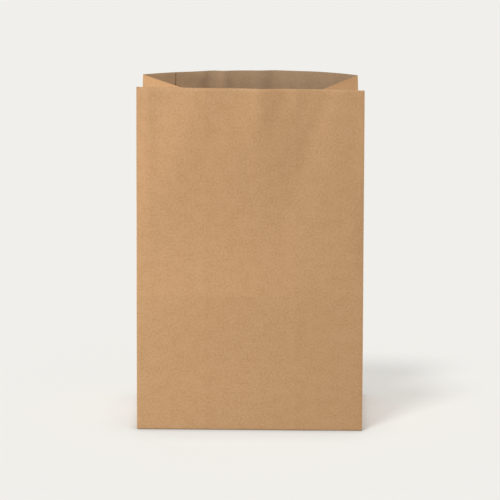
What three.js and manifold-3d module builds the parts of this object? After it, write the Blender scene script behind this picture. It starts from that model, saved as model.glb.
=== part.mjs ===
// A brown kraft lunch bag, folded from one sheet of paper and stood open on its squared base.
//
// The sheet is first glued into a tube by a lap seam down the back panel. Each side of the tube is
// a gusset with a crease down its middle. The bottom of the tube is folded in as a parcel's end is:
// the two side flaps go in first, and the front and back flaps close over them and lap. All of it
// stays one sheet, so the bag is one solid, with more than one ply only where the folds have it.
//
// Millimetres and degrees. +X runs to the bag's right, +Y from the front panel to the back panel,
// +Z up. The origin is the middle of the base, on the surface that the bag stands on.
import * as THREE from "three";
import { mergeVertices } from "three/addons/utils/BufferGeometryUtils.js";
import Module from "manifold-3d";

// Driving dimensions.
const WIDTH = 180; // the front and back panels
const DEPTH = 108; // the squared base, and one gusset's full width
const HEIGHT = 273; // paper from the base's edge to the mouth
const PAPER = 0.12; // one ply of 80 g/m2 kraft

// How far open the bag stands.
const FRONT_LEAN_LOW = 3.5; // the front panel up to the mark that the folded base leaves
const FRONT_LEAN_HIGH = 5.3; // its mean lean from there to the mouth
const FRONT_LEAN_SWING = 1.8; // how much that lean rises and falls on the way up
const BACK_LEAN_LOW = 6.5; // the back panel up to the crease that it was folded flat on
const BACK_BOW = 21; // how far the middle of the back panel bows out at the mouth
const BOW_RISE = 1.5; // power by which the bow grows from none at the base
const CREASE_DROP_APEX = 4.9; // how far a gusset's crease hangs below the panels' edges
const CREASE_DROP_MOUTH = 7; // at the apex of the gusset's triangle, and at the mouth

// The lap seam, on the inside seen to the left of the back panel.
const SEAM_INNER_EDGE = -63; // x of the edge of the ply that lies inside
const SEAM_LAP = 20;
const CUT_EDGE = 0.1; // the run over which a cut edge steps down

// The base.
const BASE_LAP = 20; // how far the front and back flaps lap each other
const FLAP_REACH = DEPTH / 2 + BASE_LAP / 2; // paper below the base's edge, on all four sides
const FLAP_GAP = 0.3; // the gap along the front flap's free edge, seen from below
const FLAP_COVER = 0.6; // how far past that edge the ply above it is whole

// How finely the panels are divided.
const TRIANGLE_ROWS = 5;
const MIDDLE_ROWS = 3;
const UPPER_ROWS = 9;
const FRONT_COLUMNS = 6;
const GUSSET_COLUMNS = 3;
const BACK_COLUMNS = 12;
const COLUMN_GAP = 5; // the least distance from a cut edge to the next column
const OFFSET_ROUNDS = 60; // enough for a corner where three faces meet

const WELD = 1e-4; // corners nearer to each other than this are one corner
const KRAFT = 0xb98e5f;

const half = { width: WIDTH / 2, depth: DEPTH / 2 };
const apexHeight = DEPTH / 2; // where a gusset's crease meets its two diagonals
const radians = THREE.MathUtils.degToRad;
const point = (x, y, z) => new THREE.Vector3(x, y, z);

// ---- The skin: the outer face of the standing bag, with no thickness ----

// The front panel in profile: how far it has leant back, and its height, at a length of paper up.
function frontProfile(length) {
  const low = Math.min(length, DEPTH);
  let y = -half.depth + low * Math.sin(radians(FRONT_LEAN_LOW));
  let z = low * Math.cos(radians(FRONT_LEAN_LOW));
  const step = 1;
  for (let s = DEPTH; s < length; s += step) {
    const run = Math.min(step, length - s);
    const turn = (2 * Math.PI * (s + run / 2 - DEPTH)) / (HEIGHT - DEPTH);
    const lean = radians(FRONT_LEAN_HIGH + FRONT_LEAN_SWING * Math.cos(turn));
    y += run * Math.sin(lean);
    z += run * Math.cos(lean);
  }
  return { y, z };
}

const bowAt = (length) => BACK_BOW * (length / HEIGHT) ** BOW_RISE;

// The back panel's upright edge: the panel leans in to its crease, which is level with the apexes
// of the gussets, and less from there. In all it leans in by as much as its middle bows out, so that
// its middle ends above the edge of the base. It keeps its width, so the bow draws its edges in.
function backProfile(length) {
  const bow = bowAt(length);
  const low = Math.min(length, apexHeight);
  const leanLow = radians(BACK_LEAN_LOW);
  const leftOver = BACK_BOW - apexHeight * Math.sin(leanLow);
  const leanHigh = Math.asin(leftOver / (HEIGHT - apexHeight));
  return {
    x: half.width - (4 * bow * bow) / (3 * WIDTH),
    y: half.depth - low * Math.sin(leanLow) - (length - low) * Math.sin(leanHigh),
    z: low * Math.cos(leanLow) + (length - low) * Math.cos(leanHigh),
  };
}

// The gusset's crease at a length of paper above the apex: half a gusset from both of its panels.
function creasePoint(length, side) {
  const front = frontProfile(length);
  const back = backProfile(length);
  const share = (length - apexHeight) / (HEIGHT - apexHeight);
  const drop = THREE.MathUtils.lerp(CREASE_DROP_APEX, CREASE_DROP_MOUTH, share);
  const chord = new THREE.Vector2(back.x - half.width, back.y - front.y);
  const reach = Math.sqrt(half.depth ** 2 - drop ** 2 - chord.lengthSq() / 4);
  const inward = new THREE.Vector2(-chord.y, chord.x).normalize().multiplyScalar(reach);
  const x = (back.x + half.width) / 2 + inward.x;
  return point(side * x, (front.y + back.y) / 2 + inward.y, (front.z + back.z) / 2 - drop);
}

// Below the apex the gusset is a flat triangle between two diagonals that start at the corners.
function gussetMiddle(length, side) {
  if (length >= apexHeight) {
    const crease = creasePoint(length, side);
    return [crease, crease.clone()];
  }
  const apex = creasePoint(apexHeight, side);
  const share = length / apexHeight;
  return [-1, 1].map((end) =>
    point(side * half.width, end * half.depth, 0).lerp(apex, share),
  );
}

// Points from one to the other, with the last left out because the next stretch starts there.
function stretch(from, to, columns) {
  return Array.from({ length: columns }, (_, i) => from.clone().lerp(to, i / columns));
}

function backPoint(length, x) {
  const edge = backProfile(length);
  const across = x / half.width;
  return point(across * edge.x, edge.y + bowAt(length) * (1 - across * across), edge.z);
}

// The columns of the back panel, from right to left, with a pair wherever a ply is cut.
function backColumns() {
  const even = Array.from(
    { length: BACK_COLUMNS },
    (_, i) => half.width - (i * WIDTH) / BACK_COLUMNS,
  );
  const cuts = [SEAM_INNER_EDGE, SEAM_INNER_EDGE - SEAM_LAP];
  const clear = even.filter((x) => cuts.every((cut) => Math.abs(x - cut) > COLUMN_GAP));
  return [...clear, ...cuts.flatMap((cut) => [cut, cut - CUT_EDGE])].sort((a, b) => b - a);
}

// Left of the seam the sheet runs inside the ply that it is glued to, and it comes back out to the
// skin at the corner. Elsewhere the outer face is the skin and the inner face is one ply in.
function plies(x) {
  const outerEdge = SEAM_INNER_EDGE - SEAM_LAP;
  if (x > outerEdge - CUT_EDGE / 2) {
    const lapped = x < SEAM_INNER_EDGE - CUT_EDGE / 2;
    return { outer: 0, inner: lapped ? 2 * PAPER : PAPER };
  }
  const left = (x + half.width) / (outerEdge + half.width);
  return { outer: PAPER * left, inner: PAPER * left + PAPER };
}

// One turn round the bag at a length of paper up, anticlockwise from above, from the front left.
function ring(length) {
  const front = frontProfile(length);
  const frontEdge = (side) => point(side * half.width, front.y, front.z);
  const backEdge = (side) => backPoint(length, side * half.width);
  const gusset = (side, from, to) => {
    const [first, last] = gussetMiddle(length, side);
    const [near, far] = side > 0 ? [first, last] : [last, first];
    return [
      ...stretch(from, near, GUSSET_COLUMNS),
      near,
      ...stretch(far, to, GUSSET_COLUMNS),
    ];
  };
  const single = (position) => ({ position, outer: 0, inner: PAPER });
  return [
    ...stretch(frontEdge(-1), frontEdge(1), FRONT_COLUMNS).map(single),
    ...gusset(1, frontEdge(1), backEdge(1)).map(single),
    ...backColumns().map((x) => ({ position: backPoint(length, x), ...plies(x) })),
    ...gusset(-1, backEdge(-1), frontEdge(-1)).map(single),
  ];
}

function rowLengths() {
  const upTo = (from, to, rows) =>
    Array.from({ length: rows }, (_, i) => from + ((to - from) * i) / rows);
  return [
    ...upTo(0, apexHeight, TRIANGLE_ROWS),
    ...upTo(apexHeight, DEPTH, MIDDLE_ROWS),
    ...upTo(DEPTH, HEIGHT, UPPER_ROWS),
    HEIGHT,
  ];
}

// ---- From the skin to a sheet with two faces ----

// Gives each distinct place on the rings one index, so that faces which meet share their corners.
function weld(rings) {
  const corners = [];
  const found = new Map();
  const index = (corner) => {
    const key = corner.position.toArray().map((v) => Math.round(v / WELD)).join();
    if (!found.has(key)) {
      found.set(key, corners.length);
      corners.push(corner);
    }
    return found.get(key);
  };
  return { rows: rings.map((row) => row.map(index)), corners, index };
}

const isFace = ([a, b, c]) => a !== b && b !== c && c !== a;

function skinFaces(rows, floorCentre) {
  const faces = [];
  const count = rows[0].length;
  for (let k = 0; k < count; k++) {
    const next = (k + 1) % count;
    faces.push([rows[0][k], floorCentre, rows[0][next]]);
    for (let i = 0; i + 1 < rows.length; i++) {
      faces.push([rows[i][k], rows[i][next], rows[i + 1][next]]);
      faces.push([rows[i][k], rows[i + 1][next], rows[i + 1][k]]);
    }
  }
  return faces.filter(isFace);
}

function faceNormal(corners, [a, b, c]) {
  const [p, q, r] = [a, b, c].map((i) => corners[i].position);
  return q.clone().sub(p).cross(r.clone().sub(p)).normalize();
}

// Moves every corner in, by the depth that it states, behind each of the faces that meet there.
function inset(corners, faces, which) {
  const normals = corners.map(() => []);
  for (const face of faces) {
    const normal = faceNormal(corners, face);
    face.forEach((i) => normals[i].push(normal));
  }
  return corners.map((corner, i) => {
    const move = new THREE.Vector3();
    for (let round = 0; round < OFFSET_ROUNDS; round++) {
      for (const normal of normals[i]) {
        move.addScaledVector(normal, -corner[which] - normal.dot(move));
      }
    }
    return corner.position.clone().add(move);
  });
}

function geometryOf(places, faces) {
  const geometry = new THREE.BufferGeometry();
  const values = faces.flatMap((face) => face.flatMap((i) => places[i].toArray()));
  geometry.setAttribute("position", new THREE.Float32BufferAttribute(values, 3));
  return geometry;
}

// The walls and the floor as one sheet: an outer face, an inner face and the cut edge of the mouth.
function sheetGeometry() {
  const { rows, corners, index } = weld(rowLengths().map(ring));
  const floorCentre = index({ position: point(0, 0, 0), outer: 0, inner: PAPER });
  const outerFaces = skinFaces(rows, floorCentre);
  const places = [
    ...inset(corners, outerFaces, "outer"),
    ...inset(corners, outerFaces, "inner"),
  ];
  const within = (i) => i + corners.length;
  const innerFaces = outerFaces.map(([a, b, c]) => [within(a), within(c), within(b)]);
  const mouth = rows[rows.length - 1];
  const rim = mouth.flatMap((a, k) => {
    const b = mouth[(k + 1) % mouth.length];
    return [
      [a, b, within(b)],
      [a, within(b), within(a)],
    ].filter((face) => a !== b && isFace(face));
  });
  return geometryOf(places, [...outerFaces, ...innerFaces, ...rim]);
}

// The space that the skin encloses near the floor, to trim the base's flaps to the walls.
function footGeometry() {
  const footRows = rowLengths().slice(0, TRIANGLE_ROWS);
  const { rows, corners, index } = weld(footRows.map(ring));
  const floorCentre = index({ position: point(0, 0, 0) });
  const top = corners[rows[rows.length - 1][0]].position.z;
  const topCentre = index({ position: point(0, 0, top) });
  const last = rows[rows.length - 1];
  const lid = last.map((a, k) => [topCentre, a, last[(k + 1) % last.length]]).filter(isFace);
  const places = corners.map((corner) => corner.position);
  return geometryOf(places, [...skinFaces(rows, floorCentre), ...lid]);
}

// ---- The flaps of the base ----

const wasm = await Module();
wasm.setup();

function solidOf(geometry) {
  const bare = geometry.clone();
  bare.deleteAttribute("normal");
  bare.deleteAttribute("uv");
  const merged = mergeVertices(bare, WELD);
  return new wasm.Manifold(
    new wasm.Mesh({
      numProp: 3,
      vertProperties: merged.attributes.position.array,
      triVerts: new Uint32Array(merged.index.array),
    }),
  );
}

// A flat piece of paper over an outline, between two heights.
function layer(outline, bottom, top) {
  const shape = new THREE.Shape(outline.map(([x, y]) => new THREE.Vector2(x, y)));
  const geometry = new THREE.ExtrudeGeometry(shape, { depth: top - bottom, bevelEnabled: false });
  return solidOf(geometry.translate(0, 0, bottom));
}

const mirrored = (outline, sx, sy) => {
  const turned = outline.map(([x, y]) => [sx * x, sy * y]);
  return sx * sy < 0 ? turned.reverse() : turned;
};

const PAST = 2; // how far an outline runs past the walls before it is trimmed
const flapEnd = half.width - FLAP_REACH; // x at which a side flap ends
const lapHalf = BASE_LAP / 2;
const joined = PAPER / 2; // a ply starts this deep inside the one below it, so that they join

// A side flap, one layer above the front and back flaps and the tucks at their ends.
const sideFlap = [
  [flapEnd, -half.depth - PAST],
  [half.width + PAST, -half.depth - PAST],
  [half.width + PAST, half.depth + PAST],
  [flapEnd, half.depth + PAST],
];

// A tuck: the corner of the front flap, turned under on its 45 degree fold.
const tuck = [
  [flapEnd, -half.depth - PAST],
  [half.width + PAST, -half.depth - PAST],
  [flapEnd, -half.depth + FLAP_REACH],
];

// The side flap's end, which nothing covers from below.
const openEnd = [
  [half.width + PAST, -half.depth - PAST],
  [half.width + PAST, half.depth + PAST],
  [half.width - half.depth, 0],
];

// The lap of the back flap over the front flap, between the side flaps.
const lap = [
  [-flapEnd - FLAP_COVER, -lapHalf],
  [flapEnd + FLAP_COVER, -lapHalf],
  [flapEnd + FLAP_COVER, lapHalf + FLAP_COVER],
  [-flapEnd - FLAP_COVER, lapHalf + FLAP_COVER],
];

// Where both flaps and their tucks lie under a side flap.
const fivePlies = [
  [flapEnd, -lapHalf],
  [flapEnd + lapHalf, 0],
  [flapEnd, lapHalf],
];

const flapGap = [
  [-flapEnd, lapHalf],
  [flapEnd, lapHalf],
  [flapEnd, lapHalf + FLAP_GAP],
  [-flapEnd, lapHalf + FLAP_GAP],
];

function foldedBag() {
  const added = [layer(lap, joined, 2 * PAPER)];
  const removed = [layer(flapGap, -PAST, PAPER)];
  for (const side of [1, -1]) {
    added.push(layer(mirrored(sideFlap, side, 1), 2 * PAPER, 3 * PAPER));
    added.push(layer(mirrored(fivePlies, side, 1), joined, 5 * PAPER));
    for (const end of [1, -1]) {
      added.push(layer(mirrored(tuck, side, end), joined, 2 * PAPER));
    }
    removed.push(layer(mirrored(openEnd, side, 1), -PAST, 2 * PAPER));
  }
  const foot = solidOf(footGeometry());
  const flaps = added.reduce((all, one) => all.add(one)).intersect(foot);
  const cuts = removed.reduce((all, one) => all.add(one));
  return solidOf(sheetGeometry()).add(flaps).subtract(cuts);
}

function toGeometry(solid) {
  const { vertProperties, triVerts } = solid.getMesh();
  const geometry = new THREE.BufferGeometry();
  geometry.setAttribute("position", new THREE.BufferAttribute(vertProperties, 3));
  geometry.setIndex(new THREE.BufferAttribute(triVerts, 1));
  geometry.computeVertexNormals();
  return geometry;
}

const kraft = new THREE.MeshStandardMaterial({ color: KRAFT, roughness: 0.85, metalness: 0 });
const bag = new THREE.Group();
const sheet = new THREE.Mesh(toGeometry(foldedBag()), kraft);
sheet.name = "paper_bag";
bag.add(sheet);

export default bag;
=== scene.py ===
# %% [markdown]
# # A brown paper lunch bag, standing open
#
# A lunch bag is one sheet of brown kraft paper and a little paste. A machine folds the sheet into a
# tube, pastes it with a lap seam down the back, presses a gusset into each side, and closes the
# bottom as a parcel's end is closed. Nothing is added to the sheet, so this script makes one piece.
#
# There are many ways to model such a thing: five flat plates, a subdivided box, a cloth simulation.
# Plates have no real folds, and a simulation stretches paper, which paper never does. So the script
# works as the machine does. It draws the flat sheet, says by a formula where each point of the
# sheet lies on the finished bag, gives it its thickness, and only then its two faces of paper.
#
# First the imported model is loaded. It fixes the size and the place of everything that follows.

# %% Load the frame
import math

import bpy
import numpy as np
from mathutils import Euler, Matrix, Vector, noise


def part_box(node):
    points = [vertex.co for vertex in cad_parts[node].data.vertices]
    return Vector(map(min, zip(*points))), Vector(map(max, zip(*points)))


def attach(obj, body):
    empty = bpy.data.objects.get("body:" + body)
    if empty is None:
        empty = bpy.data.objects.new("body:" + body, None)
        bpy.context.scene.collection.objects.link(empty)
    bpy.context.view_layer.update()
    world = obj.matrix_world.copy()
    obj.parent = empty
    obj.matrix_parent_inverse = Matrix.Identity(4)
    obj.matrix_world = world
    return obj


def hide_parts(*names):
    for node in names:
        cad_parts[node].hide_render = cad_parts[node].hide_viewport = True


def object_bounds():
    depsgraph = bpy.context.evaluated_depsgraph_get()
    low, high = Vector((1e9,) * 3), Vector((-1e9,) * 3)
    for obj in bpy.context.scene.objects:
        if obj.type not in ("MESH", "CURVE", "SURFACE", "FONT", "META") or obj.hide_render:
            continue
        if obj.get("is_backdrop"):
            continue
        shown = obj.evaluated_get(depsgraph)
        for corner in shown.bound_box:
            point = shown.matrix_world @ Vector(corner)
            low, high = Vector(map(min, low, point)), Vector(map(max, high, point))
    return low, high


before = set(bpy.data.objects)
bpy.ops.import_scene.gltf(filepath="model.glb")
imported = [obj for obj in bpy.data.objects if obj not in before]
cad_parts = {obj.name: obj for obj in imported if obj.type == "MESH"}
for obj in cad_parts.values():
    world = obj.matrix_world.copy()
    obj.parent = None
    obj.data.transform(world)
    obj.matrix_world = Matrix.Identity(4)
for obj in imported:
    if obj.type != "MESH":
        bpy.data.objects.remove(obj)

cad_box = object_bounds()
print("frame:", sorted(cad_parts), "box:", [tuple(corner) for corner in cad_box])

# %% [markdown]
# ## Sizes
#
# Blender works in metres and paper is talked of in millimetres, so every size is written as a
# number of `MM`. The width, the depth and the standing height come from the frame. The lean angles,
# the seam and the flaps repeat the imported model's own, so that the fine sheet lies on the plain one.

# %% Sizes of the bag
MM = 0.001

low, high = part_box("paper_bag")
HALF_WIDTH = (high.x - low.x) / 2
HALF_DEPTH = (high.y - low.y) / 2
WIDTH, DEPTH = 2 * HALF_WIDTH, 2 * HALF_DEPTH
PAPER = 0.12 * MM  # one ply of 80 g/m2 kraft
PLY = 1.15 * PAPER  # the room that a ply takes in a stack, with a little air

SEAM_INNER_X = -63 * MM  # the cut edge of the ply that lies inside
SEAM_OUTER_X = -82 * MM  # the cut edge of the ply that lies outside
FLAP = HALF_DEPTH + 10 * MM  # paper below the base's edge, so that the base's flaps lap by 20 mm

FRONT_LEAN = math.radians(3.5)  # up to the mark that the folded base leaves
FRONT_LEAN_ABOVE = math.radians(5.3)  # mean lean from there to the mouth
FRONT_LEAN_SWING = math.radians(1.8)
BACK_LEAN = math.radians(6.5)  # up to the crease that the base was folded flat on
BACK_BOW = 21 * MM
CREASE_DROP_APEX = 4.9 * MM
CREASE_DROP_MOUTH = {-1: 8.4 * MM, 1: 9.3 * MM}  # the left and the right gusset's

apex_up = HALF_DEPTH  # where a gusset's crease meets its two diagonals
mark_up = DEPTH  # where the folded base's free edge was pressed against the panels
back_in_low, back_up_low = apex_up * math.sin(BACK_LEAN), apex_up * math.cos(BACK_LEAN)
back_in_high, back_up_high = BACK_BOW - back_in_low, high.z - back_up_low
HEIGHT = apex_up + math.hypot(back_in_high, back_up_high)  # paper from base to mouth
print(f"sheet height {HEIGHT / MM:.1f} mm, width {WIDTH / MM:.1f} mm, depth {DEPTH / MM:.1f} mm")

# %% [markdown]
# ## The flat sheet
#
# A point of the sheet has two numbers: `u`, how far across the sheet it is, and `h`, how far up.
# `u` starts at the seam's inner edge, crosses the left end of the back panel, the left gusset, the
# front, the right gusset and the back, and ends at the seam's outer edge. `h` is 0 at the base's
# edge, `HEIGHT` at the mouth and less than 0 in the flaps of the base.

# %% Where the folds cross the sheet
U_BACK_LEFT = HALF_WIDTH + SEAM_INNER_X
U_FRONT_LEFT = U_BACK_LEFT + DEPTH
U_FRONT_RIGHT = U_FRONT_LEFT + WIDTH
U_BACK_RIGHT = U_FRONT_RIGHT + DEPTH
U_END = U_BACK_RIGHT + HALF_WIDTH - SEAM_OUTER_X
sheet_area = U_END * (HEIGHT + FLAP)
print(f"flat sheet {U_END / MM:.0f} by {(HEIGHT + FLAP) / MM:.0f} mm, {sheet_area:.3f} m2")
print(f"at 80 g/m2 it weighs {sheet_area * 80:.1f} g")

# %% [markdown]
# ## How the panels stand
#
# Paper bends one way at a time, so each panel is a sheet that leans, and leans differently as it
# goes up. The front panel is followed in small steps from the base, each step turned by the lean
# there. `np.interp` then looks the result up at any height. The bend at the base's mark is spread
# over a few millimetres, because a pressed mark is softer than a fold.

# %% The front and back panels' edges
MARK_BEND = 5 * MM
PAST_THE_MOUTH = 10 * MM
STEP = 0.5 * MM
steps = np.arange(0, HEIGHT + PAST_THE_MOUTH, STEP)
swing = FRONT_LEAN_SWING * np.cos(2 * np.pi * (steps - mark_up) / (HEIGHT - mark_up))
above_mark = np.clip((steps - mark_up) / MARK_BEND + 0.5, 0, 1)
lean = FRONT_LEAN + above_mark * (FRONT_LEAN_ABOVE + swing - FRONT_LEAN)
front_in = np.cumsum(np.sin(lean)) * STEP
front_up = np.cumsum(np.cos(lean)) * STEP


def front_edge(h):
    """How far the front panel has leant in, and how high it is, at a length h of paper."""
    return np.interp(h, steps, front_in), np.interp(h, steps, front_up)


def back_edge(h):
    """The same for the upright edges of the back panel, which bends at its crease."""
    h_low = np.clip(h, 0, apex_up)
    share = np.clip(h - apex_up, 0, None) / (HEIGHT - apex_up)
    inward = h_low * math.sin(BACK_LEAN) + share * back_in_high
    return inward, h_low * math.cos(BACK_LEAN) + share * back_up_high


print("front mouth leans in", round(float(front_edge(HEIGHT)[0]) / MM, 1), "mm")

# %% [markdown]
# The mouth pushes the middle of the back panel out into a bow. The bow isn't even: it is fullest to
# the right of the middle, and it falls away faster on that side. A power curve on each side of its
# top says that with two numbers. The panel keeps its width, so its edges draw in as it bows.

# %% The bow of the back panel
BOW_TOP_X = 24 * MM
BOW_POWER_LEFT, BOW_POWER_RIGHT = 2.8, 2.1
BOW_RISE = 1.5  # power by which the bow grows from none at the base
BACK_TWIST = 0.9 * MM  # how far the back panel's mouth stands to the left


def bow_at(h):
    """How far the fullest part of the back panel stands out, at a length h of paper."""
    return BACK_BOW * np.clip(h / HEIGHT, 0, None) ** BOW_RISE


def back_x(x, h):
    """Where the paper of the back panel at x stands: a shallow arc is narrower than its paper."""
    drawn_in = (4 * bow_at(h) ** 2) / (3 * WIDTH)
    return x * (1 - drawn_in / HALF_WIDTH) - BACK_TWIST * np.clip(h / HEIGHT, 0, None)


def bow_shape(x):
    """1 at the fullest part of the bow and 0 at both edges."""
    right = np.abs(x - BOW_TOP_X) / (HALF_WIDTH - BOW_TOP_X)
    left = np.abs(x - BOW_TOP_X) / (HALF_WIDTH + BOW_TOP_X)
    return 1 - np.where(x > BOW_TOP_X, right**BOW_POWER_RIGHT, left**BOW_POWER_LEFT)


print("bow at the middle", round(float(bow_shape(np.array(0.0)) * BACK_BOW) / MM, 1), "mm")

# %% [markdown]
# ## Waves, dents and pressed marks
#
# A flat panel of paper looks like plastic. A real one keeps a record of how it was handled: long
# ripples that start at the mouth where a hand opened it and die out downwards, shallow dents, and
# pressed marks where other folds lay against it in the flat bag. They are made as real relief, not
# as bump, because they are what the light picks out. Each is one term of a sum, in millimetres.

# %% A vocabulary of soft shapes
def hump(distance, width):
    """1 at no distance, falling to nothing past about two widths."""
    return np.exp(-((distance / width) ** 2))


def ripples(x, h, waves):
    """Ripples from the mouth: (x, drift, half width, height, reach) each.

    Drift is how far one moves across for each millimetre down, and reach is how far down it goes.
    """
    down = np.clip(HEIGHT - h, 0, None)
    return sum(
        rise * hump(x - at - drift * down, width) * np.exp(-((down / reach) ** 3))
        for at, drift, width, rise, reach in waves
    )


def dents(x, h, places):
    """Shallow hollows and swellings: (x, h, half width, half height, height) each."""
    return sum(
        rise * hump(x - at_x, width) * hump(h - at_h, tall)
        for at_x, at_h, width, tall, rise in places
    )


def millimetres(rows):
    """Rows of numbers in millimetres, turned to metres."""
    return [tuple(value * MM for value in row) for row in rows]


def ripple(x, drift, width, rise, reach):
    """A ripple's numbers, in millimetres but for its drift."""
    return x * MM, drift, width * MM, rise * MM, reach * MM


print("a hump one width away:", round(float(hump(1, 1)), 2))

# %% The front panel's relief
FRONT_RIPPLES = [
    ripple(9, -0.1, 11, 1.3, 38),  # the fullest one, right of the middle
    ripple(27, -0.1, 11.5, -1.2, 31),
    ripple(54, -0.22, 17, -2.0, 95),  # a long hollow that runs down towards the middle
    ripple(-37, -0.36, 17, 1.1, 100),  # a long ridge that runs down towards the left edge
    ripple(-81, 0.0, 5, 0.5, 110),  # beside the left fold, where the bag was pressed flat twice
    ripple(37, -0.2, 3, 0.16, 30),
    ripple(54, -0.35, 4, 0.30, 45),
]
FRONT_DENTS = millimetres([
    (-15, 57, 55, 28, -0.8),
    (-60, 150, 20, 34, -0.3),
    (-2, 215, 4, 16, -0.2),
    (-18, 231, 22, 1.5, 0.1),  # a short level crease below the mouth, from a hand
])
SWING_MORE = 0.9 * MM  # the middle of the panel follows the swing of its lean more than its edges do
SWING_MIDDLE, SWING_WIDTH = -15 * MM, 50 * MM
SWING_BACK, SWING_BACK_X, SWING_BACK_WIDTH = 0.7, 85 * MM, 35 * MM  # and the right edge goes against it
EDGE_STIFF = 5 * MM  # beside a fold the panel is held straight
GUSSET_MARK, GUSSET_MARK_WIDTH = 0.06 * MM, 1.2 * MM  # a gusset's crease, pressed through the panel
BASE_MARK, BASE_MARK_WIDTH = 0.03 * MM, 1.0 * MM  # the base's free edge, pressed through it too


def beside_folds(x):
    """0 at a panel's two folds and 1 away from them."""
    return 1 - hump(HALF_WIDTH - np.abs(x), EDGE_STIFF)


def pressed_lines(x, h):
    """The marks of what lay against the panel in the flat bag."""
    gussets = GUSSET_MARK * hump(np.abs(x) - (HALF_WIDTH - HALF_DEPTH), GUSSET_MARK_WIDTH)
    return gussets + BASE_MARK * hump(h - mark_up, BASE_MARK_WIDTH)


def front_relief(x, h):
    """How far the front panel stands out towards a viewer in front of it."""
    above = np.clip(h - mark_up, 0, None) / (HEIGHT - mark_up)
    where = hump(x - SWING_MIDDLE, SWING_WIDTH) - SWING_BACK * hump(x - SWING_BACK_X, SWING_BACK_WIDTH)
    swing_more = -SWING_MORE * np.sin(2 * np.pi * above) * where
    waves = ripples(x, h, FRONT_RIPPLES) + dents(x, h, FRONT_DENTS)
    return (waves + swing_more) * beside_folds(x) + pressed_lines(x, h)


print("front relief at the mouth:", [round(float(front_relief(x * MM, HEIGHT)) / MM, 2)
                                     for x in (-60, -37, 0, 9, 31, 45, 57)])

# %% The back panel's relief
BACK_RIPPLES = [
    ripple(-49, 0.0, 8, -0.9, 50),
    ripple(-33, 0.0, 7, 1.3, 50),
    ripple(-21, 0.0, 4.5, -1.3, 45),  # a kink: the sheet was pinched here when it was opened
    ripple(-17.5, 0.0, 2.5, 0.4, 40),
    ripple(7, 0.05, 6, -0.6, 45),
    ripple(20, 0.05, 7, 1.2, 50),
    ripple(42, 0.1, 12, -0.9, 60),
]
BACK_DENTS = millimetres([(-20, 160, 30, 36, -0.6), (40, 120, 26, 30, 0.5), (10, 220, 24, 24, 0.4)])
VALLEY_CREASE = 0.12 * MM  # the crease that the base was folded flat on
CREASE_WIDTH = 0.9 * MM


def back_relief(x, h):
    """How far the back panel stands out towards a viewer behind it."""
    waves = ripples(x, h, BACK_RIPPLES) + dents(x, h, BACK_DENTS)
    valley = -VALLEY_CREASE * hump(h - apex_up, CREASE_WIDTH)
    return waves * beside_folds(x) + pressed_lines(x, h) + valley


print("back relief at the mouth:", [round(float(back_relief(x * MM, HEIGHT)) / MM, 2)
                                    for x in (-42, -24, -18, 12, 27)])

# %% [markdown]
# ## The gussets
#
# A gusset is hinged to both panels and has a crease down its middle. The crease has to be half a
# gusset away from the front panel and half a gusset away from the back panel, because paper doesn't
# stretch. In plan that is where two circles of the same radius cross, which is the formula below.
# Under the apex, where the base was folded in, the gusset is a flat triangle instead.

# %% The gussets
FRONT_TURN = 0.9 * MM  # the front panel stands this much out of square at each end
NEARLY_NONE = 1e-6  # keeps a division away from zero


def corner(h, side, front):
    """The upright fold between a gusset and its front or back panel."""
    if front:
        inward, up = front_edge(h)
        return np.stack([side * HALF_WIDTH + 0 * h, inward - HALF_DEPTH - FRONT_TURN * side, up], -1)
    inward, up = back_edge(h)
    return np.stack([back_x(side * HALF_WIDTH, h), HALF_DEPTH - inward, up], -1)


def crease(h, side):
    """The gusset's middle crease, for h at or above the apex."""
    near, far = corner(h, side, True), corner(h, side, False)
    share = (h - apex_up) / (HEIGHT - apex_up)
    drop = CREASE_DROP_APEX + share * (CREASE_DROP_MOUTH[side] - CREASE_DROP_APEX)
    chord = far[..., :2] - near[..., :2]
    length = np.linalg.norm(chord, axis=-1)
    reach = np.sqrt(HALF_DEPTH**2 - drop**2 - length**2 / 4)
    inward = side * np.stack([-chord[..., 1], chord[..., 0]], -1) / length[..., None]
    plan = (near[..., :2] + far[..., :2]) / 2 + inward * reach[..., None]
    up = (near[..., 2] + far[..., 2]) / 2 - drop
    return np.concatenate([plan, up[..., None]], -1)


def gusset_wall(g, h, side):
    """A point of a gusset, g along it from its front fold."""
    near, far = corner(h, side, True), corner(h, side, False)
    above = crease(np.maximum(h, apex_up), side)
    climb = np.clip(h / apex_up, 0, 1)[..., None]
    foot_near, foot_far = corner(0 * h, side, True), corner(0 * h, side, False)
    turn_near = foot_near + (above - foot_near) * climb
    turn_far = foot_far + (above - foot_far) * climb
    reach = np.clip(h, NEARLY_NONE, HALF_DEPTH)
    t_near = (g / reach)[..., None]
    t_far = ((DEPTH - g) / reach)[..., None]
    t_middle = ((g - reach) / np.maximum(DEPTH - 2 * reach, NEARLY_NONE))[..., None]
    place = turn_near + (turn_far - turn_near) * t_middle
    place = np.where(t_near < 1, near + (turn_near - near) * t_near, place)
    return np.where(t_far < 1, far + (turn_far - far) * t_far, place)


test = gusset_wall(np.array([0.0, HALF_DEPTH, DEPTH]), np.full(3, HEIGHT), 1)
print("right gusset at the mouth:", (test / MM).round(1).tolist())

# %% [markdown]
# ## The base
#
# The four flaps close in this order: the side flaps first, then the back flap, then the front flap.
# A front or back flap can't fold flat as a rectangle, because its ends are joined to the side
# flaps. Each end turns under on a fold at 45 degrees and lies as a triangle, a tuck, between its
# flap and the side flap. On the sheet that is one comparison: how far a point is from the corner
# along the flap, against how far it is down the flap. The tuck is the same thing with both swapped.
#
# The plies are stacked by counting what lies under each point, so none passes through another.
# Where the tuck holds the seam's lap it is double, and turned over, so the lap's outer ply is its
# upper one.

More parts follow.
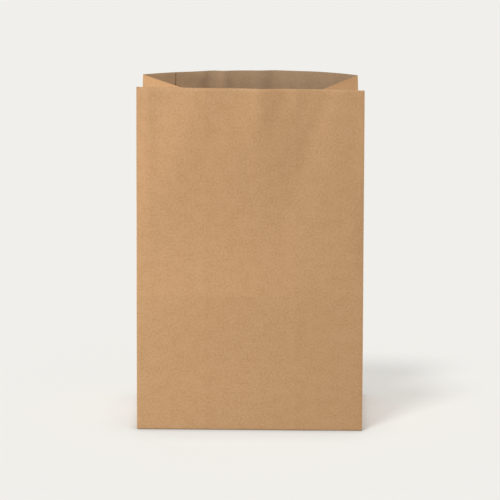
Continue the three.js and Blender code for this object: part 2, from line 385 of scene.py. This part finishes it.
# %% How many plies lie under a point of the base
def plies_of(x, depth_in):
    """Plies of the front or back flap at x, a distance in from the base's edge: flap and tuck."""
    end = HALF_WIDTH - np.abs(x)
    there = (depth_in <= FLAP) & (end >= depth_in)
    tucked = there & (end <= FLAP)
    return there.astype(float) + tucked.astype(float)


def seam_plies(x, y):
    """What the lap seam adds at the left of the back flap: it is double there, and so is its tuck."""
    lap = HALF_WIDTH + SEAM_INNER_X
    flap = (x < SEAM_INNER_X) & (HALF_DEPTH - y < HALF_WIDTH + x)
    tuck = (x < FLAP - HALF_WIDTH) & (HALF_DEPTH - y < lap)
    return flap.astype(float) + tuck.astype(float)


def ply_up(layer):
    """How high the middle of a ply lies, with this many plies under it."""
    return (layer + 0.5) * PLY


print("plies under the middle of a side flap's end:", plies_of(HALF_WIDTH - FLAP + MM, HALF_DEPTH))


# %% The flaps
def end_flap(x, down, back, inner_ply):
    """A point of the front or back flap, or of its tuck. The back flap is double in the seam's lap."""
    end = HALF_WIDTH - np.abs(x)
    tucked = down > end
    side = np.sign(x)
    at_x = np.where(tucked, side * (HALF_WIDTH - down), x)
    into = np.where(tucked, end + PLY, down)
    if back:
        under = plies_of(at_x, DEPTH - into)
        on_lap = (at_x < SEAM_INNER_X).astype(float)
        turned_over = on_lap if inner_ply else on_lap + (x < SEAM_INNER_X)
        layer = under + np.where(tucked, 1 + turned_over, float(inner_ply))
        return np.stack([at_x, HALF_DEPTH - into, ply_up(layer)], -1)
    turned = FRONT_TURN * at_x / HALF_WIDTH
    layer = np.where(tucked, 1.0, 0.0)
    return np.stack([at_x, into - HALF_DEPTH - turned, ply_up(layer)], -1)


def side_flap(g, down, side):
    """A point of a side flap, g along it from the front."""
    x = side * (HALF_WIDTH - down)
    y = -HALF_DEPTH + PLY + g * (DEPTH - 2 * PLY) / DEPTH
    both = plies_of(x, y + HALF_DEPTH) + plies_of(x, HALF_DEPTH - y)
    layer = np.maximum(both, 2) + seam_plies(x, y)
    turned = FRONT_TURN * side * (1 - g / DEPTH)
    return np.stack([x, y - turned, ply_up(layer)], -1)


print("front flap's free edge at y =", round((FLAP - HALF_DEPTH) / MM, 1), "mm")

# %% [markdown]
# ## From the sheet to the bag
#
# Now each panel of the sheet has its formula, and one function picks between them. A wall starts on
# top of the plies that its flap lies on and settles to its own height within a few millimetres.

# %% The whole sheet
SETTLE = 3 * MM
LIP, LIP_BACK = 2.4 * MM, 0.6 * MM  # the last of the front panel, which the cutter bent back
LIP_CURVE = 1.5  # the power that its bend grows with: 1 would be a sharp bend and a flat lip
LIFTED_EDGE, LIFT_WIDTH = 0.8 * MM, 3.5 * MM  # the seam's inner edge isn't pasted, and curls free,
LIFT_REACH, LIFT_BELOW = 90 * MM, 0.35  # most near the mouth, and by this share far below it
GUSSET_SWELL = 0.9 * MM  # how far each half of a gusset bellies out of flat
GUSSET_NOTCH = 0.10 * MM  # the level crease across a gusset's rear half


def settle(wall, layer, h):
    """Lifts the foot of a wall on to the plies that its flap lies on."""
    wall[..., 2] += ply_up(layer) * np.exp(-np.clip(h, 0, None) / SETTLE)
    return wall


def front_panel(x, h):
    """The front wall, and below h = 0 its flap."""
    inward, up = front_edge(h)
    lip = LIP_BACK * np.clip(1 - (HEIGHT - h) / LIP, 0, 1) ** LIP_CURVE
    y = inward - HALF_DEPTH - FRONT_TURN * x / HALF_WIDTH - front_relief(x, h) + lip
    wall = settle(np.stack([x, y, up], -1), 0, h)
    return np.where((h < 0)[..., None], end_flap(x, -h, False, False), wall)


def back_panel(x, h, inside):
    """The back wall and its flap; the seam's inner ply lies a ply further in."""
    inward, up = back_edge(h)
    y = HALF_DEPTH - inward + bow_at(h) * bow_shape(x) + back_relief(x, h)
    if inside:
        to_corner = np.clip((x + HALF_WIDTH) / (SEAM_OUTER_X + HALF_WIDTH), 0, 1)
        curl = LIFTED_EDGE * hump(x - SEAM_INNER_X, LIFT_WIDTH) * np.clip(h / SETTLE, 0, 1)
        y = y - PLY * to_corner - curl * (LIFT_BELOW + (1 - LIFT_BELOW) * hump(HEIGHT - h, LIFT_REACH))
    wall = settle(np.stack([back_x(x, h), y, up], -1), 1 if inside else 0, h)
    return np.where((h < 0)[..., None], end_flap(x, -h, True, inside), wall)


def gusset(g, h, side):
    """A side wall and its flap, with the swell of its halves and its level crease."""
    wall = gusset_wall(g, h, side)
    swell = np.sin(2 * np.pi * g / DEPTH) * np.clip((h - apex_up) / mark_up, 0, 1)
    notch = GUSSET_NOTCH * hump(h - apex_up, CREASE_WIDTH) * (g > HALF_DEPTH)
    wall[..., 0] += side * (GUSSET_SWELL * swell * np.sin(np.pi * h / HEIGHT) - notch)
    wall = settle(wall, 2, h)
    return np.where((h < 0)[..., None], side_flap(g, -h, side), wall)


def folded(u, h):
    """Where a point of the flat sheet lies on the standing bag."""
    place = back_panel(SEAM_INNER_X - u, h, True)
    panels = [
        (U_BACK_LEFT, lambda v: gusset(DEPTH - v, h, -1)),
        (U_FRONT_LEFT, lambda v: front_panel(v - HALF_WIDTH, h)),
        (U_FRONT_RIGHT, lambda v: gusset(v, h, 1)),
        (U_BACK_RIGHT, lambda v: back_panel(HALF_WIDTH - v, h, False)),
    ]
    for start, panel in panels:
        place = np.where((u > start)[..., None], panel(u - start), place)
    return place


spot = folded(np.array([U_FRONT_LEFT + HALF_WIDTH]), np.array([HEIGHT]))
print("middle of the front's mouth:", (spot[0] / MM).round(1).tolist())

# %% [markdown]
# ## A grid that knows the folds
#
# A fold drawn through the middle of a square face looks torn, so every fold has to run along mesh
# edges. The grid is built panel by panel: two close lines beside each fold, to round it, and
# wider steps between. The panels' ends, the gussets and the flaps use the same steps, counted from
# the corner across and up. So the 45-degree folds pass exactly through the grid's crossings, and
# the faces that they cut are made as two triangles instead of a square.

# %% The grid's lines
CELL = 2.8 * MM
BESIDE_FOLD = (0.3 * MM, 0.8 * MM)


def lines_between(start, end):
    """Grid lines from one fold up to, and without, the next."""
    first, last = start + BESIDE_FOLD[-1], end - BESIDE_FOLD[-1]
    count = max(2, math.ceil((last - first) / CELL) + 1)
    beside_end = [end - step for step in reversed(BESIDE_FOLD[:-1])]
    return [start, start + BESIDE_FOLD[0], *np.linspace(first, last, count), *beside_end]


def lines_through(folds):
    """Grid lines from the first fold to the last, with a line on every fold."""
    found = [line for start, end in zip(folds, folds[1:]) for line in lines_between(start, end)]
    return np.array([*found, folds[-1]])


panel_end = lines_through([0, HALF_DEPTH, FLAP])
panel_middle = lines_between(FLAP, WIDTH - FLAP)[1:]
panel = np.concatenate([panel_end, panel_middle, (WIDTH - panel_end)[::-1]])
half_gusset = lines_through([0, HALF_DEPTH])
whole_gusset = np.concatenate([half_gusset, (DEPTH - half_gusset)[::-1][1:]])
inner_strip = U_BACK_LEFT - panel[panel < U_BACK_LEFT - MM][::-1]
across = [
    np.array([0.0]),
    inner_strip[inner_strip < U_BACK_LEFT],
    U_BACK_LEFT + whole_gusset[:-1],
    U_FRONT_LEFT + panel[:-1],
    U_FRONT_RIGHT + whole_gusset[:-1],
    U_BACK_RIGHT + panel[panel < U_END - U_BACK_RIGHT - MM],
    np.array([U_END]),
]
u_lines = np.unique(np.concatenate(across).round(9))
wall_lines = lines_through([0, apex_up, mark_up, HEIGHT - LIP, HEIGHT])
h_lines = np.concatenate([-panel_end[:0:-1], wall_lines]).round(9)
print(len(u_lines), "lines across and", len(h_lines), "up")

# %% [markdown]
# ## Rounding the folds
#
# Kraft paper can't be folded to a sharp line, because its fibres spread over a small radius. To
# round every fold at once, each point is placed at the average of a few neighbours on the sheet,
# a bit to each side. Far from a fold this changes nothing, and across one it makes a soft bend. The
# upright folds were only creased and open again, so they are rounder than the base's flat ones.

# %% Rounded folds and a mouth that isn't square
UPRIGHT_SOFT = 0.6 * MM
FLAT_SOFT = 0.3 * MM
TAPS = (-1, -0.5, 0, 0.5, 1)
OUT_OF_SQUARE = 1.0 * MM  # the mouth was cut this much too high at the left and too low at the right


def rounded(u, h):
    """The folded sheet with its folds rounded: the average of a few neighbours on the sheet."""
    soft = np.where(h < -FLAT_SOFT, FLAT_SOFT, UPRIGHT_SOFT)
    total = 0
    for tap_u in TAPS:
        for tap_h in TAPS:
            near_u = np.clip(u + tap_u * soft, 0, U_END)
            near_h = np.clip(h + tap_h * soft, -FLAP, HEIGHT + MM)
            total = total + folded(near_u, near_h)
    return total / len(TAPS) ** 2


def cut_of_mouth(u):
    """How much too high the mouth was cut."""
    corners = [0, U_BACK_LEFT, U_FRONT_LEFT, U_FRONT_RIGHT, U_BACK_RIGHT, U_END]
    return np.interp(u, corners, [0, 0, OUT_OF_SQUARE, -OUT_OF_SQUARE, 0, 0])


grid_u, grid_h = np.meshgrid(u_lines, h_lines, indexing="ij")
share_up = np.clip((grid_h - mark_up) / (HEIGHT - mark_up), 0, 1)
grid_h_cut = grid_h + share_up * cut_of_mouth(grid_u)
points = rounded(grid_u.ravel(), grid_h_cut.ravel())
print("points", len(points), "from", (points.min(0) / MM).round(2), "to", (points.max(0) / MM).round(2))

# %% Faces, with the diagonal folds kept on edges
ON_THE_FOLD = 0.01 * MM  # a crossing of the grid this near to a fold is on it
rows = len(h_lines)
corner_places = [(U_BACK_LEFT, 1), (U_FRONT_LEFT, -1), (U_FRONT_RIGHT, 1), (U_BACK_RIGHT, -1)]


def meets_diagonal(u, h):
    """+1 or -1 where (u, h) is on a 45-degree fold that rises to the right or to the left, else 0."""
    for corner_u, way in corner_places:
        if abs((u - corner_u) * way - h) < ON_THE_FOLD and -FLAP - MM < h < apex_up + MM:
            return way
    return 0


faces = []
for i in range(len(u_lines) - 1):
    for j in range(rows - 1):
        a, b = i * rows + j, (i + 1) * rows + j
        left, right, lower, upper = u_lines[i], u_lines[i + 1], h_lines[j], h_lines[j + 1]
        if meets_diagonal(left, lower) == 1 == meets_diagonal(right, upper):
            faces += [(a, b, b + 1), (a, b + 1, a + 1)]
        elif meets_diagonal(right, lower) == -1 == meets_diagonal(left, upper):
            faces += [(a, b, a + 1), (b, b + 1, a + 1)]
        else:
            faces.append((a, b, b + 1, a + 1))
split = sum(len(face) == 3 for face in faces)
print(len(faces), "faces,", split, "of them halves of a square cut by a fold")

# %% [markdown]
# ## The paper's own unevenness
#
# Between its folds paper cockles: it swells and shrinks with the damp in the air, more in one place
# than in another. Noise along the surface's normal gives that, a slow wave of a few centimetres and
# a finer one of about a centimetre. It fades beside each fold and in the base, where the paper is
# held. The noise reads the flat sheet's own coordinates, so the two plies of a fold differ.

# %% The sheet as a mesh
SLOW_WAVE, SLOW_SIZE, SLOW_SLICE = 0.16 * MM, 37 * MM, 3.1
FINE_WAVE, FINE_SIZE, FINE_SLICE = 0.018 * MM, 8 * MM, 7.7  # each wave has its own slice of the noise
TURNED = math.radians(31)  # the noise is turned, so that its own grid doesn't lie along the folds
HELD = 5 * MM  # beside a fold the paper is held flat
all_folds = [U_BACK_LEFT, U_BACK_LEFT + HALF_DEPTH, U_FRONT_LEFT, U_FRONT_RIGHT,
             U_FRONT_RIGHT + HALF_DEPTH, U_BACK_RIGHT]

sheet = bpy.data.meshes.new("kraft_sheet")
sheet.from_pydata(points.tolist(), [], faces)
sheet.update()
normals = np.empty(len(points) * 3)
sheet.vertices.foreach_get("normal", normals)
normals = normals.reshape(-1, 3)

flat_u, flat_h = grid_u.ravel(), grid_h.ravel()


def waviness(u, h):
    """How far a point of the sheet stands off its smooth surface."""
    u, h = u * math.cos(TURNED) - h * math.sin(TURNED), u * math.sin(TURNED) + h * math.cos(TURNED)
    slow = noise.noise(Vector((u / SLOW_SIZE, h / SLOW_SIZE, SLOW_SLICE)))
    fine = noise.noise(Vector((u / FINE_SIZE, h / FINE_SIZE, FINE_SLICE)))
    return SLOW_WAVE * slow + FINE_WAVE * fine


wave = np.array([waviness(u, h) for u, h in zip(flat_u, flat_h)])
to_fold = np.min([np.abs(flat_u - fold) for fold in all_folds], axis=0)
free = (1 - hump(to_fold, HELD)) * np.clip(flat_h / (3 * HELD), 0, 1)
points += normals * (wave * free)[:, None]
sheet.vertices.foreach_set("co", points.ravel())
sheet.update()
print("waviness up to", round(float(np.abs(wave * free).max()) / MM, 2), "mm")

# %% [markdown]
# The flat sheet's two numbers are kept as the mesh's UV map, in metres. It is the truest UV map
# there can be: nothing on it is stretched, so a fleck of a millimetre in the material is a fleck of
# a millimetre on the bag, on every panel and across every fold.

# %% The flat sheet as a UV map
uv = sheet.uv_layers.new(name="flat_sheet")
corner_vertex = np.empty(len(sheet.loops), dtype=np.int32)
sheet.loops.foreach_get("vertex_index", corner_vertex)
uv.data.foreach_set("uv", np.stack([flat_u, flat_h], -1)[corner_vertex].ravel())
print("UV map", round(np.ptp(flat_u) / MM), "by", round(np.ptp(flat_h) / MM), "mm")

# %% [markdown]
# ## Two faces of one paper
#
# The sheet has no thickness yet. Solidify gives it the 0.12 mm of real kraft, with the cut edges
# closed, and puts the second material on the inner face and the cut edges. The modifier is applied,
# so that the edges can be marked sharp on the finished form: a fold of more than 28 degrees between
# two faces reads as a fold, and anything less is shaded as one smooth surface.

# %% The bag
READS_AS_FOLD = math.radians(28)

paper_bag = bpy.data.objects.new("kraft_paper_bag", sheet)
bpy.context.scene.collection.objects.link(paper_bag)
thickness = paper_bag.modifiers.new("thickness", "SOLIDIFY")
thickness.thickness = PAPER
thickness.offset = 0
thickness.material_offset = 1
thickness.material_offset_rim = 1

for name in ("machine_glazed_kraft", "unglazed_kraft_and_painted_light"):
    material = bpy.data.materials.new(name)
    material.use_nodes = True
    sheet.materials.append(material)

evaluated = paper_bag.evaluated_get(bpy.context.evaluated_depsgraph_get())
paper_bag.data = bpy.data.meshes.new_from_object(evaluated)
paper_bag.modifiers.clear()
paper_bag.data.shade_smooth()
paper_bag.data.set_sharp_from_angle(angle=READS_AS_FOLD)
triangles = sum(len(polygon.vertices) - 2 for polygon in paper_bag.data.polygons)
print("triangles:", triangles)

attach(paper_bag, "root")
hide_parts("paper_bag")

# %% [markdown]
# ## Colours and nodes
#
# Blender's shaders work in linear light, and colours are written down as sRGB hex, so one function
# turns one into the other. A second function adds a node with its settings, and links its inputs.

# %% Helpers for materials
def linear(hex_colour):
    """An sRGB colour such as B98F64 as the linear colour that shaders use."""
    values = [int(hex_colour[at : at + 2], 16) / 255 for at in (0, 2, 4)]
    return [v / 12.92 if v <= 0.04045 else ((v + 0.055) / 1.055) ** 2.4 for v in values] + [1.0]


def add_node(tree, kind, inputs, **settings):
    """A node. Each input is a plain value, or the output of another node that feeds it."""
    node = tree.nodes.new(kind)
    for name, value in settings.items():
        setattr(node, name, value)
    for key, value in inputs.items():
        if isinstance(value, bpy.types.NodeSocket):
            tree.links.new(value, node.inputs[key])
        else:
            node.inputs[key].default_value = value
    return node


print("kraft brown is", [round(v, 3) for v in linear("B98F64")])

# %% [markdown]
# ## Machine-glazed kraft, the outer face
#
# Kraft paper is unbleached wood pulp. The brown is the wood's own lignin. While still damp, one face
# of the sheet is dried against a hot polished cylinder, which leaves it smooth with a low sheen:
# that face is the outside of the bag. Its index of refraction is that of cellulose, close to the
# shader's default of 1.5, and its roughness is that of an eggshell finish.
#
# To the eye it isn't one brown. Fibres gather in small flocs while the pulp drains, 1 to 2 mm
# across, and these gather in wider clouds. Here and there a darker bit of bark or a paler, better
# cooked bundle of fibres lies in the face. Each of them is strewn over the brown in the same way: a
# noise of the right size picks the places, and another colour is laid over them. A single fibre is
# 0.03 mm wide, too fine to show, so the pale bundles are drawn coarser than they are, at 0.7 mm.

# %% What is strewn over the brown
FLOC, CLOUD = 1.6 * MM, 9 * MM
BARK, PALE_BUNDLE = 0.9 * MM, 0.7 * MM
ROUGH_EDGED = 0.6  # how much finer detail each spot of the noise has, for a fibrous outline
BARK_BROWN = "8F6C48"


def strewn(tree, place, colour, over, size, detail, start, end, most):
    """Lays a second colour over the first wherever a noise of this size rises past the start."""
    noise_settings = {"Vector": place, "Scale": 1 / size, "Detail": detail, "Roughness": ROUGH_EDGED}
    pattern = add_node(tree, "ShaderNodeTexNoise", noise_settings)
    limits = {"Value": pattern.outputs["Fac"], "From Min": start, "From Max": end, "To Max": most}
    amount = add_node(tree, "ShaderNodeMapRange", limits, interpolation_type="SMOOTHSTEP")
    colours = {0: amount.outputs[0], 6: colour, 7: over}
    return add_node(tree, "ShaderNodeMix", colours, data_type="RGBA").outputs[2]


print("flocs", FLOC / MM, "mm, clouds", CLOUD / MM, "mm, bark", BARK / MM, "mm")

# %% [markdown]
# Both faces of the sheet are the same pulp, so one function finishes both. The faces differ in
# colour, in roughness and in how deep their tooth is. The tooth is the fine unevenness of the fibre
# mat, which a bump can carry, because nobody sees it in the outline.

# %% The kraft finish, and the outer face
TOOTH = 1.12 * MM  # from one rise of the fibre mat to the next


def kraft(material, plain, dark, pale, roughness, tooth):
    """Kraft paper: flocs, clouds, pale bundles and bark in the colour, and a fine tooth as bump."""
    tree = material.node_tree
    tree.nodes.clear()
    place = add_node(tree, "ShaderNodeUVMap", {}, uv_map="flat_sheet").outputs["UV"]
    colour = strewn(tree, place, dark, plain, FLOC, detail=4, start=0.32, end=0.68, most=1)
    colour = strewn(tree, place, colour, pale, CLOUD, detail=2, start=0.3, end=0.7, most=0.22)
    colour = strewn(tree, place, colour, pale, PALE_BUNDLE, detail=1, start=0.66, end=0.8, most=0.7)
    bark = linear(BARK_BROWN)
    colour = strewn(tree, place, colour, bark, BARK, detail=0, start=0.78, end=0.86, most=0.7)
    mat_settings = {"Vector": place, "Scale": 1 / TOOTH, "Detail": 2, "Roughness": ROUGH_EDGED}
    fibre_mat = add_node(tree, "ShaderNodeTexNoise", mat_settings)
    relief = {"Strength": 1.0, "Distance": tooth, "Height": fibre_mat.outputs["Fac"]}
    bump = add_node(tree, "ShaderNodeBump", relief)
    surface = {"Base Color": colour, "Roughness": roughness, "IOR": 1.5, "Normal": bump.outputs[0]}
    paper = add_node(tree, "ShaderNodeBsdfPrincipled", surface)
    add_node(tree, "ShaderNodeOutputMaterial", {"Surface": paper.outputs[0]})
    return material


outer, inner = paper_bag.data.materials
kraft(outer, linear("B98F64"), linear("AA8257"), linear("C39B72"), 0.58, 0.06 * MM)
print("outer face:", outer.name)

# %% [markdown]
# ## Unglazed kraft, the inner face
#
# The inner face never touched the polished cylinder. It is the felt side: dull, with more tooth, and
# so it scatters light evenly at every angle. Its colours are paler and greyer than the outer face's:
# partly the felt side's own tone, partly painted light for the light that comes through the paper and
# the cool room light inside the bag. The cut edges show the same raw fibre, so they share this
# material.

# %% The inner face
# paler, greyer colours: partly the felt side's own tone, partly painted light inside the bag
kraft(inner, linear("B39676"), linear("A78A6B"), linear("BEA384"), 0.8, 0.08 * MM)
print("inner face and cut edges:", inner.name)

# %% [markdown]
# ## The floor
#
# The bag stands on a pale acrylic table that is lit from below as well as from above, as small
# things often are in a studio. That keeps the ground even and the shadows faint. The floor's
# material is part emission, the light from below, and part diffuse, which takes the lamps' shadows.
# Close to the bag the emission is darkened by ambient occlusion: a painted contact shadow.

# %% Floor
GROUND = "F0EFEB"
TAKES_SHADOW = 0.37  # the diffuse part of the floor, which light from above falls on
FROM_BELOW = 0.546
NEAR, NEAR_SHADE = 9 * MM, 0.8  # painted contact shadow: the glow is darkened where the bag stands close, sharply in the last millimetres and softly further out
WIDE, WIDE_SHADE = 40 * MM, 0.45  # sharply in the last millimetres and softly further out


def lit_table(material):
    tree = material.node_tree
    tree.nodes.clear()
    tone = linear(GROUND)
    diffuse = [TAKES_SHADOW * v / tone[0] for v in tone[:3]] + [1]
    matte = add_node(tree, "ShaderNodeBsdfDiffuse", {"Color": diffuse})
    strength = FROM_BELOW
    # painted contact shadow: ambient occlusion near the bag darkens the table's emission
    for reach, shade in ((NEAR, NEAR_SHADE), (WIDE, WIDE_SHADE)):
        opened = add_node(tree, "ShaderNodeAmbientOcclusion", {"Distance": reach}, samples=8)
        limits = {"Value": opened.outputs["AO"], "To Min": 1 - shade}
        share = add_node(tree, "ShaderNodeMapRange", limits)
        factors = {0: share.outputs[0], 1: strength}
        strength = add_node(tree, "ShaderNodeMath", factors, operation="MULTIPLY").outputs[0]
    white = [v / tone[0] for v in tone[:3]] + [1]
    glow = add_node(tree, "ShaderNodeEmission", {"Color": white, "Strength": strength})
    both = add_node(tree, "ShaderNodeAddShader", {0: matte.outputs[0], 1: glow.outputs[0]})
    add_node(tree, "ShaderNodeOutputMaterial", {"Surface": both.outputs[0]})


FLOOR_HALF = 12.0
floor_mesh = bpy.data.meshes.new("lit_table")
floor_corners = [(FLOOR_HALF * a, FLOOR_HALF * b, 0) for a, b in ((-1, -1), (1, -1), (1, 1), (-1, 1))]
floor_mesh.from_pydata(floor_corners, [], [(0, 1, 2, 3)])
floor = bpy.data.objects.new("lit_table", floor_mesh)
bpy.context.scene.collection.objects.link(floor)
table_acrylic = bpy.data.materials.new("lit_table_acrylic")
table_acrylic.use_nodes = True
lit_table(table_acrylic)
floor_mesh.materials.append(table_acrylic)
floor.visible_diffuse = False  # the room's even light reaches the bag from below too
floor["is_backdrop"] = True
print("floor", 2 * FLOOR_HALF, "m wide")

# %% [markdown]
# ## Light
#
# One large softbox hangs to the front and left, tilted over the bag. Its low edge lights the upright
# panels and its high edge the table, so it is drawn as two sun lamps with a wide angle, by light
# linking: one for the bag, and a steeper, softer one for the table, which gives a short soft shadow.
# A small softbox stands close by on the left, so the bag's left is a little lighter than its right.
# A white card on the right returns some light into the folds on that side, and another behind keeps
# the back from going black. The room's own light comes from the world, whose colour as the camera
# sees it is the ground's, so that no horizon shows.

# %% Lamps and room
KEY_LEFT, KEY_UP = math.radians(35), math.radians(46)
KEY_STRENGTH, KEY_SPREAD = 2.15, math.radians(8.5)
ABOVE_LEFT, ABOVE_UP = math.radians(36.5), math.radians(63.7)
ABOVE_STRENGTH, ABOVE_SPREAD = 1.725, math.radians(12)
SIDE_LEFT, SIDE_UP, SIDE_AWAY = math.radians(57), math.radians(8), 0.60
SIDE_POWER, SIDE_SIZE = 2.0, 0.20
FILL_RIGHT, FILL_UP = math.radians(103), math.radians(20)
FILL_STRENGTH, FILL_SPREAD = 3.6, math.radians(20)
BACK_LEFT, BACK_UP = math.radians(160), math.radians(30)
BACK_STRENGTH, BACK_SPREAD = 0.9, math.radians(50)
ROOM_LIGHT = 0.39
SUN_AWAY = 2  # a sun lamp gives the same light from anywhere


def towards(left, up):
    """The direction from the bag to something left of the front and above the floor."""
    return Vector((-math.sin(left) * math.cos(up), -math.cos(left) * math.cos(up), math.sin(up)))


def add_lamp(name, kind, energy, left, up, away, lights):
    """A lamp that lights one thing, the bag or the table."""
    lamp = bpy.data.objects.new(name, bpy.data.lights.new(name, kind))
    lamp.data.energy = energy
    lamp.location = Vector((0, 0, HEIGHT / 2)) + towards(left, up) * away
    lamp.rotation_euler = towards(left, up).to_track_quat("Z", "Y").to_euler()
    lamp.light_linking.receiver_collection = bpy.data.collections.new("lit_by_" + name)
    lamp.light_linking.receiver_collection.objects.link(lights)
    bpy.context.scene.collection.objects.link(lamp)
    return lamp


key = add_lamp("softbox_low_edge", "SUN", KEY_STRENGTH, KEY_LEFT, KEY_UP, SUN_AWAY, paper_bag)
key.data.angle = KEY_SPREAD
above = add_lamp("softbox_high_edge", "SUN", ABOVE_STRENGTH, ABOVE_LEFT, ABOVE_UP, SUN_AWAY, floor)
above.data.angle = ABOVE_SPREAD
side = add_lamp("left_softbox", "AREA", SIDE_POWER, SIDE_LEFT, SIDE_UP, SIDE_AWAY, paper_bag)
side.data.size = SIDE_SIZE
fill = add_lamp("right_card", "SUN", FILL_STRENGTH, -FILL_RIGHT, FILL_UP, SUN_AWAY, paper_bag)
fill.data.angle = FILL_SPREAD
behind = add_lamp("back_card", "SUN", BACK_STRENGTH, BACK_LEFT, BACK_UP, SUN_AWAY, paper_bag)
behind.data.angle = BACK_SPREAD
for lamp in (above, side, fill, behind):
    lamp.visible_glossy = False  # only the key gives a sheen, so no panel glares when seen edge-on

room = bpy.data.worlds.new("studio_room")
room.use_nodes = True
room.node_tree.nodes.clear()
tree = room.node_tree
seen = add_node(tree, "ShaderNodeBackground", {"Color": linear(GROUND), "Strength": 1.0})
lighting = add_node(tree, "ShaderNodeBackground", {"Color": (1, 1, 1, 1), "Strength": ROOM_LIGHT})
to_camera = add_node(tree, "ShaderNodeLightPath", {}).outputs["Is Camera Ray"]
shaders = {0: to_camera, 1: lighting.outputs[0], 2: seen.outputs[0]}
mixed = add_node(tree, "ShaderNodeMixShader", shaders)
add_node(tree, "ShaderNodeOutputWorld", {"Surface": mixed.outputs[0]})
bpy.context.scene.world = room
bpy.context.scene.view_settings.view_transform = "Standard"
print("the key light comes from", [round(v, 2) for v in towards(KEY_LEFT, KEY_UP)])

# %% [markdown]
# ## Camera
#
# The camera stands well back with a long lens, so the bag's upright edges stay almost parallel. It
# looks down a little, just enough to see over the front edge into the mouth.

# %% Camera
CAMERA_AWAY = 2.6
CAMERA_DOWN = math.radians(13.06)
CAMERA_RIGHT = math.radians(0.71)
CAMERA_ROLL = math.radians(0.11)
LENS = 232.6
aim = Vector((-0.5 * MM, 0, 135 * MM))

camera = bpy.data.objects.new("camera", bpy.data.cameras.new("camera"))
camera.data.sensor_width = 36
camera.data.lens = LENS
camera.data.clip_end = 5 * FLOOR_HALF
away = towards(-CAMERA_RIGHT, CAMERA_DOWN)
camera.location = aim + away * CAMERA_AWAY
rolled = Euler((0, 0, CAMERA_ROLL)).to_quaternion()
camera.rotation_euler = (away.to_track_quat("Z", "Y") @ rolled).to_euler()
bpy.context.scene.collection.objects.link(camera)
bpy.context.scene.camera = camera
print("camera at", [round(v, 3) for v in camera.location])

# %% Sizes printed
visual_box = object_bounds()
sizes = {"cad": [list(end) for end in cad_box], "visual": [list(end) for end in visual_box]}
for name, (low_end, high_end) in sizes.items():
    print(name, [round((b - a) / MM, 2) for a, b in zip(low_end, high_end)], "mm")
